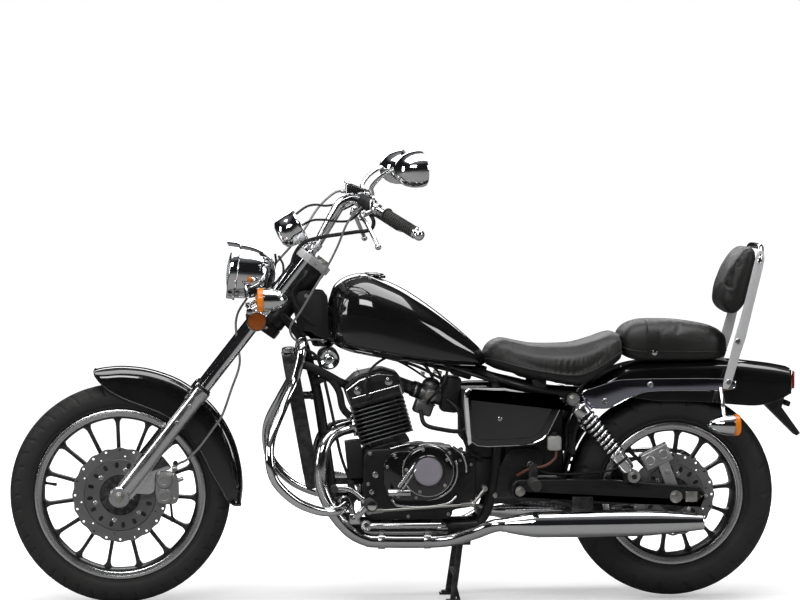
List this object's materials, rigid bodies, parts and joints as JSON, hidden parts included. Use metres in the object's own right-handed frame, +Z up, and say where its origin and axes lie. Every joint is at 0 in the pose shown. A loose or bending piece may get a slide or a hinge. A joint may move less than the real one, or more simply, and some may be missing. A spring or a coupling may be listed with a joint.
{
  "type": "cruiser motorcycle",
  "caption": "Small cruiser motorcycle with pulled-back handlebars, teardrop tank, open engine with a radiator, crash bars, stepped seats, backrest and a centre stand.",
  "frame": {"origin": "on the floor, on the middle plane, halfway between the front tyre's front and the plate bracket's rear", "axes": "+X to the rear, +Y to the rider's right, +Z up"},
  "size_m": [2.3034, 0.8672, 1.3128],
  "materials": {
    "gloss_black": "gloss black paint",
    "satin_black": "satin black paint",
    "black_plastic": "matt black",
    "chrome": "polished",
    "alloy": "satin",
    "steel": "machined",
    "tyre": "matt",
    "leather": "grained",
    "amber": "amber lenses, chromed bodies in the look",
    "red": "clear red",
    "glass": "clear"
  },
  "bodies": {
    "chassis": {"frame": "satin_black", "engine_crankcase": "satin_black", "engine_cylinder": "satin_black", "cylinder_head": "satin_black", "engine_cover_left": "gloss_black", "carburettor": "alloy", "airbox": "black_plastic", "radiator": "satin_black", "crash_bar_left": "chrome", "crash_bar_right": "chrome", "horns": "chrome", "exhaust_left": "chrome", "exhaust_right": "chrome", "fuel_tank": "gloss_black", "neck_cover": "black_plastic", "rider_seat": "leather", "pillion_seat": "leather", "side_cover_left": "gloss_black", "side_cover_right": "gloss_black", "rear_fender": "gloss_black", "fender_rails": "chrome", "backrest_pad": "leather", "tail_lamp": "red", "plate_bracket": "black_plastic", "swingarm": "satin_black", "shock_left": "chrome", "shock_right": "chrome", "rear_caliper": "alloy", "drive_chain": "steel", "chain_guard": "chrome", "front_footpegs": "alloy"},
    "steering": {"yokes": "alloy", "front_fork": "alloy", "front_caliper": "alloy", "front_fender": "gloss_black", "handlebar": "chrome", "brake_hose": "black_plastic", "mirror_left": "chrome", "mirror_right": "chrome", "headlamp": "chrome", "headlamp_lens": "glass", "speedometer": "chrome", "front_indicators": "amber"},
    "front_wheel": {"front_tyre": "tyre", "front_rim": "satin_black", "front_disc": "steel"},
    "rear_wheel": {"rear_tyre": "tyre", "rear_rim": "satin_black", "rear_disc": "steel", "rear_sprocket": "steel"},
    "centre_stand": {"centre_stand": "satin_black"},
    "side_stand": {"side_stand": "steel"}
  },
  "joints": [
    {"name": "steering", "type": "hinge", "parent": "chassis", "child": "steering", "pos_m": [-0.79543, 0, 0.28895], "axis": [0.6157, 0, 0.788], "range_deg": [-35, 35]},
    {"name": "front_wheel_spin", "type": "hinge", "parent": "steering", "child": "front_wheel", "pos_m": [-0.83325, 0, 0.3185], "axis": [0, 1, 0], "continuous": true},
    {"name": "rear_wheel_spin", "type": "hinge", "parent": "chassis", "child": "rear_wheel", "pos_m": [0.77175, 0, 0.3105], "axis": [0, 1, 0], "continuous": true},
    {"name": "centre_stand_fold", "type": "hinge", "parent": "chassis", "child": "centre_stand", "pos_m": [0.15175, 0, 0.19], "axis": [0, -1, 0], "range_deg": [0, 85]},
    {"name": "side_stand_swing", "type": "hinge", "parent": "chassis", "child": "side_stand", "pos_m": [-0.12725, -0.152, 0.236], "axis": [0, 0.9397, -0.342], "range_deg": [0, 95], "stiffness_Nm_per_rad": 1, "springref_deg": -57.3}
  ]
}
